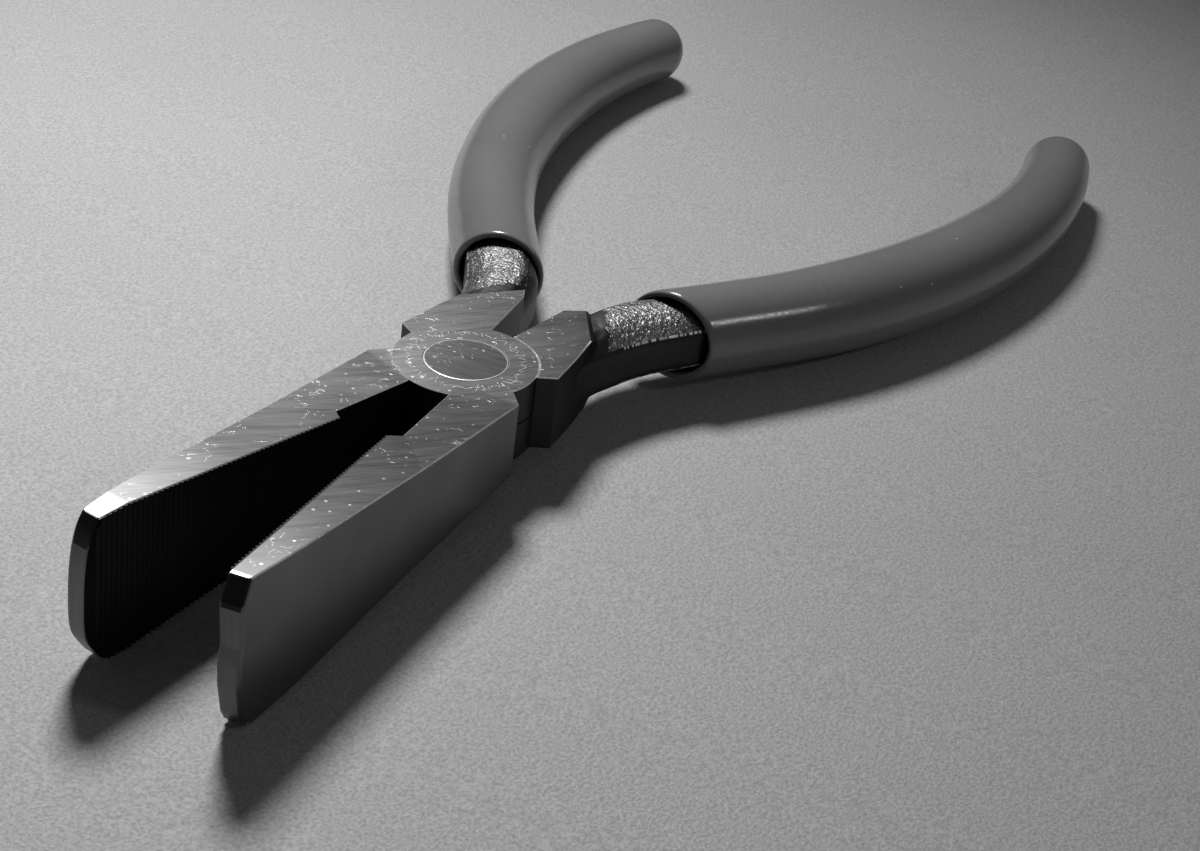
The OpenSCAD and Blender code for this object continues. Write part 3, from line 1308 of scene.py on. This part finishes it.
@dataclass
class Rivet:
    """The flush rivet that holds the laps together."""

    joint: Joint
    name: str = "rivet"
    sharp: float = 12.0

    def build(self, steel: Material) -> Object:
        """Builds the rivet.

        Args:
            steel: Its material.

        Returns:
            The finished piece, riding on the upper half's body.
        """
        obj = new_object(self.name, lathe(self.name, self.joint.rivet_profile()))
        mesh = obj.data
        mesh.materials.append(steel)
        mesh.shade_smooth()
        mesh.set_sharp_from_angle(angle=math.radians(self.sharp))
        mesh.transform(Matrix.Translation((0, 0, -self.joint.half * MM)))
        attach(obj, "upper")
        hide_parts("pivot_rivet")
        return obj


@dataclass
class JointMarks:
    """A plain ring of short strokes struck into the lap round the rivet."""

    name: str = "joint_marks"
    count: int = 52
    ring_radius: float = 6.25
    stroke: tuple[float, float] = (1.25, 0.08)
    sway: float = 1.3
    shortest: float = 0.4
    proud: float = 0.022
    sink: float = 0.05
    seed: int = 7

    def tree(self) -> NodeTree:
        """A tree that sets one stroke round a circle with small changes of length and turn."""
        inputs = {"Stroke": "Geometry", "Count": 12, "Radius": 0.005, "Seed": 0, "Steel": "Material"}
        net = Group("Geometry", "ring of strokes", inputs)
        given = net.given
        circle = net.out("GeometryNodeMeshCircle", {"Vertices": given["Count"], "Radius": given["Radius"]})
        share = net.math("DIVIDE", net.out("GeometryNodeInputIndex"), given["Count"])
        next_seed = net.plus(given["Seed"], 1.0)
        sway, length = (
            net.add("FunctionNodeRandomValue", {2: low, 3: high, "Seed": seed}, data_type="FLOAT").outputs[1]
            for low, high, seed in ((-self.sway, self.sway, given["Seed"]), (self.shortest, 1.0, next_seed))
        )
        turn = net.xyz(z=net.plus(net.times(share, 2 * math.pi), sway))
        copies = {"Points": circle, "Instance": given["Stroke"], "Rotation": turn,
                  "Scale": net.xyz(length, 1.0, 1.0)}
        return net.dress(net.out("GeometryNodeInstanceOnPoints", copies), "Steel")

    def build(self, steel: Material) -> Object:
        """Builds the ring.

        Args:
            steel: The material of the strokes.

        Returns:
            The finished piece, riding on the upper half's body.
        """
        long, wide = self.stroke
        rings = []
        for z, inset in ((-self.sink, 0.0), (self.proud * 0.3, 0.0), (self.proud, wide * 0.3)):
            x, y = long / 2 - inset, wide / 2 - inset
            rings.append([Vector((-x, -y, z)), Vector((x, -y, z)), Vector((x, y, z)), Vector((-x, y, z))])
        obj = new_object(self.name, loft("stroke", rings))
        values = {"Count": self.count, "Radius": self.ring_radius * MM, "Seed": self.seed, "Steel": steel}
        run_tree(obj, self.tree(), values)
        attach(obj, "upper")
        return obj


@dataclass
class Sleeve:
    """One dipped plastic sleeve with a rolled open mouth and a round closed end."""

    name: str
    node: str
    body: str
    turned_over: bool
    joint: Joint
    path: HandlePath
    mouth_radius: float = 5.35
    belly_radius: float = 5.65
    wall: float = 0.85
    bore: float = 3.84
    mouth_depth: float = 3.0
    mouth_reach: float = 0.8
    mouth_lean: float = 1.5
    mouth_flare: float = 0.06
    sides: int = 72
    rows: int = 96
    uneven: float = 0.05
    seed: float = 3.0

    def profile(self) -> list[tuple[float, float]]:
        """Profile from the outer pole, over the lip, to the inner pole.

        Returns:
            (distance, radius) pairs.
        """
        end, round_end, r = self.path.length, self.path.end_radius, self.mouth_radius
        pairs = [(end + round_end, 0.0)]
        for k in range(1, 14):
            a = math.radians(90 * (1 - k / 14))
            pairs.append((end + round_end * math.sin(a), round_end * math.cos(a)))
        body = [(0.0, r), (end * 0.12, r + 0.06), (end / 3, self.belly_radius),
                (end * 0.62, self.belly_radius - 0.1), (end, round_end)]
        for k in range(self.rows):
            run = end + (1.4 - end) * k / (self.rows - 1)
            pairs.append((run, lookup(run, body, True)))
        pairs += [(0.9, r + 0.01), (0.5, r), (0.24, r - 0.06), (0.08, r - 0.18), (0.0, r - 0.36),
                  (0.03, r - 0.56), (0.14, r - 0.72), (0.34, r - 0.82)]
        floor = self.mouth_depth + 0.3
        pairs += [(run, r - self.wall) for run in (0.7, 1.6, self.mouth_depth - 0.3)]
        pairs.append((self.mouth_depth, r - self.wall - 0.2))
        inner_end = self.path.tang_end + 0.3
        pairs += [(floor + (inner_end - floor) * k / 24, self.bore) for k in range(25)]
        return [*pairs, (inner_end, 0.0)]

    def tree(self) -> NodeTree:
        """A tree that sets each point of the sleeve round the handle's path.

        Returns:
            The tree.
        """
        inputs = {"Skin": "Geometry", "Path": "Object", "Uneven": 0.0, "Seed": 0.0, "Plastic": "Material"}
        net = Group("Geometry", "sleeve along a path", inputs)
        given = net.given
        path = net.add("GeometryNodeObjectInfo", {"Object": given["Path"]}).outputs["Geometry"]
        run, reach, angle = (
            net.out("GeometryNodeInputNamedAttribute", {"Name": key}, data_type="FLOAT")
            for key in ("run", "reach", "angle")
        )
        sample = net.add("GeometryNodeSampleCurve", {"Curves": path, "Length": run}, mode="LENGTH",
                         use_all_curves=True).outputs
        up = net.xyz(z=1.0)
        side = net.vector("CROSS_PRODUCT", sample["Tangent"], up)
        wobble = net.out(
            "ShaderNodeTexNoise",
            {"Vector": sample["Position"], "W": given["Seed"], "Scale": 55.0, "Detail": 1.0},
            noise_dimensions="4D",
        )
        off = net.times(net.minus(wobble, 0.5), given["Uneven"])
        radius = net.times(reach, net.plus(off, 1.0))
        sideways = net.vector("SCALE", side, net.times(net.math("COSINE", angle), radius))
        upwards = net.vector("SCALE", up, net.times(net.math("SINE", angle), radius))
        place = net.vector("ADD", sample["Position"], net.vector("ADD", sideways, upwards))
        moved = net.out("GeometryNodeSetPosition", {"Geometry": given["Skin"], "Position": place})
        return net.dress(moved, "Plastic")

    def skin(self) -> Mesh:
        """The sleeve's faces, each point holding its distance, radius and angle.

        Returns:
            The mesh.
        """
        mesh = lathe("skin", [(radius, run) for run, radius in self.profile()], self.sides)
        store = {key: mesh.attributes.new(key, "FLOAT", "POINT") for key in ("run", "reach", "angle")}
        for i, vertex in enumerate(mesh.vertices):
            angle = math.atan2(vertex.co.y, vertex.co.x)
            run = vertex.co.z / MM
            near = max(0.0, 1.0 - run / self.path.straight) ** 2
            run -= near * (self.mouth_reach + self.mouth_lean * math.cos(angle))
            flare = self.mouth_flare * near * (1.0 + math.cos(angle)) * MM
            store["run"].data[i].value = (run + self.path.lead) * MM
            store["reach"].data[i].value = math.hypot(vertex.co.x, vertex.co.y) + flare
            store["angle"].data[i].value = angle
        return mesh

    def build(self, plastic: Material) -> Object:
        """Builds the sleeve.

        Args:
            plastic: Its material.

        Returns:
            The finished piece, riding on its body.
        """
        obj = new_object(self.name, self.skin())
        guide = self.path.curve()
        values = {"Path": guide, "Uneven": self.uneven, "Seed": self.seed, "Plastic": plastic}
        run_tree(obj, self.tree(), values)
        bpy.data.curves.remove(guide.data)
        mesh = obj.data
        for key in ("run", "reach", "angle"):
            mesh.attributes.remove(mesh.attributes[key])
        with editing(mesh) as work:
            bmesh.ops.recalc_face_normals(work, faces=work.faces)
        mesh.shade_smooth()
        mesh.transform(self.joint.placing(self.turned_over))
        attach(obj, self.body)
        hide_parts(self.node)
        return obj


@dataclass
class Pliers:
    """The whole tool."""

    joint: Joint = field(default_factory=Joint)
    path: HandlePath = field(default_factory=HandlePath)

    def build(self, effects: Effects) -> list[Object]:
        """Builds every piece of the tool.

        Args:
            effects: The shared shader groups.

        Returns:
            The pieces.
        """
        joint, path = self.joint, self.path
        finishes = {
            Finish.GROUND: GroundSteel("ground steel"),
            Finish.SATIN: SatinSteel("satin steel"),
            Finish.EDGE: EdgeSteel("worn edge steel and painted highlight"),
            # Bright edges: wear, and painted highlights along edges, ridges and the tip's top facet.
            Finish.SCALE: ForgedSteel("forged scale"),
            # Near-black: the forged sides, and painted shade on faces in shadow.
            Finish.NECK_SIDE_AND_SHADE: SatinSteel("forged side steel and painted shade", tone=0.05, rough=0.45, fineness=900.0),
            # Near-black bite: painted shade on the inner faces and the teeth.
            Finish.BITE_IN_SHADE: SatinSteel("bite steel in painted shade", tone=0.03, rough=0.6),
        }
        steels = [finishes[finish].material(effects) for finish in Finish]
        # The teeth take the near-black bite steel, which is painted shade, and the bright edge steel on their
        # ends.
        ends = steels[Finish.BITE_IN_SHADE.value], steels[Finish.EDGE.value]
        # The rivet's face carries a ring of painted highlight just inside its edge.
        rivet = GroundSteel("rivet steel", tone=0.15, ring_radius=4.52, turn=1.3).material(effects)
        struck = EdgeSteel("struck steel", tone=0.55).material(effects)
        plastic = SleevePlastic("sleeve plastic").material(effects)
        front = Jaw(joint, Nose.BEVELLED, facet_from=53.05, facet_slope=0.27)
        rear = Jaw(joint, Nose.ROUNDED)
        shank, full = Shank(joint, path), Shank(joint, path, full_pad=True)
        left = Sleeve("left_grip", "left_sleeve", "upper", False, joint, path)
        right = Sleeve("right_grip", "right_sleeve", "lower", True, joint, path, mouth_reach=1.6,
                       mouth_lean=2.6, seed=9.0)
        return [
            Forging("upper_forging", "upper_half", "upper", False, front, shank).build(steels),
            Forging("lower_forging", "lower_half", "lower", True, rear, full).build(steels),
            Teeth("upper_teeth", "upper", False, front).build(*ends),
            Teeth("lower_teeth", "lower", True, rear).build(*ends),
            Rivet(joint).build(rivet),
            JointMarks().build(struck),
            left.build(plastic),
            right.build(plastic),
        ]


# ---------------------------------------------------------------- table, lights, camera


@dataclass
class Lamp:
    """A round soft lamp."""

    name: str
    direction: tuple[float, float, float]
    distance: float
    power: float
    size: float = 110.0
    aim: tuple[float, float, float] = (0.0, 0.0, 0.0)
    spread: float = 180.0

    def build(self) -> None:
        """Sets up the lamp, a distance away in its direction and pointed at its aim."""
        data = bpy.data.lights.new(self.name, "AREA")
        data.shape = "DISK"
        data.energy = self.power
        data.size = self.size * MM
        data.spread = math.radians(self.spread)
        place = Vector(self.direction).normalized() * self.distance
        obj = new_object(self.name, data)
        obj.location = place * MM
        obj.rotation_mode = "QUATERNION"
        obj.rotation_quaternion = (Vector(self.aim) - place).to_track_quat("-Z", "Y")


@dataclass
class Studio:
    """The table, the lights and the camera."""

    floor_height: float = -13.0
    floor_at: float = 53.2
    floor_slope: float = -0.0218
    floor_reach: float = 1500.0
    eye: tuple[float, float, float] = (184.7, 97.635, 112.138)
    yaw: float = 203.67
    pitch: float = 29.51
    roll: float = 7.9
    lens: float = 66.0
    ambient: float = 0.05

    def table(self, finish: Material) -> None:
        """A wide plain floor that the tips and the sleeves rest on.

        Args:
            finish: Its material.
        """
        r = self.floor_reach
        corners = []
        for x, y in ((-r, -r), (r, -r), (r, r), (-r, r)):
            corners.append(Vector((x, y, self.floor_height + self.floor_slope * (x - self.floor_at))) * MM)
        mesh = bpy.data.meshes.new("table")
        mesh.from_pydata(corners, [], [(0, 1, 2, 3)])
        mesh.materials.append(finish)
        new_object("table", mesh)

    def lights(self) -> None:
        """A soft lamp from behind on the left, a weak one at the side, and dim surroundings."""
        Lamp("key", (-0.43, -0.4, 0.81), 430.0, 0.47, aim=(28.0, -84.0, -12.0), spread=84.0).build()
        Lamp("fill", (-0.13, 0.81, 0.57), 900.0, 0.42).build()
        world = bpy.data.worlds.new("surroundings")
        world.use_nodes = True
        back = world.node_tree.nodes["Background"].inputs
        back["Color"].default_value = (1.0, 1.0, 1.0, 1.0)
        back["Strength"].default_value = self.ambient
        bpy.context.scene.world = world

    def camera(self) -> None:
        """The camera, aimed by yaw, pitch and roll."""
        tilt, turn = math.radians(self.pitch), math.radians(self.roll)
        forward = heading(self.yaw) * math.cos(tilt) - UP * math.sin(tilt)
        right = forward.cross(UP).normalized()
        up = right.cross(forward)
        right, up = right * math.cos(turn) + up * math.sin(turn), up * math.cos(turn) - right * math.sin(turn)
        data = bpy.data.cameras.new("camera")
        data.lens = self.lens
        data.sensor_width = 36.0
        data.clip_start = 0.01
        data.clip_end = 20.0
        obj = new_object("camera", data)
        facing = Matrix((right, up, -forward)).transposed().to_4x4()
        obj.matrix_world = Matrix.Translation(Vector(self.eye) * MM) @ facing
        bpy.context.scene.camera = obj

    def build(self, finish: Material) -> None:
        """Sets up everything that isn't the tool.

        Args:
            finish: The table's material.
        """
        self.camera()
        self.table(finish)
        self.lights()
        bpy.context.scene.view_settings.view_transform = "Standard"


def main() -> None:
    """Builds the tool and its setting."""
    logging.basicConfig(level=logging.INFO, format="%(name)s: %(message)s")
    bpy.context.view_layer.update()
    effects = Effects()
    for piece in Pliers().build(effects):
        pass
    Studio().build(TableTop("pale table").material(effects))


if __name__ == "__main__":
    main()
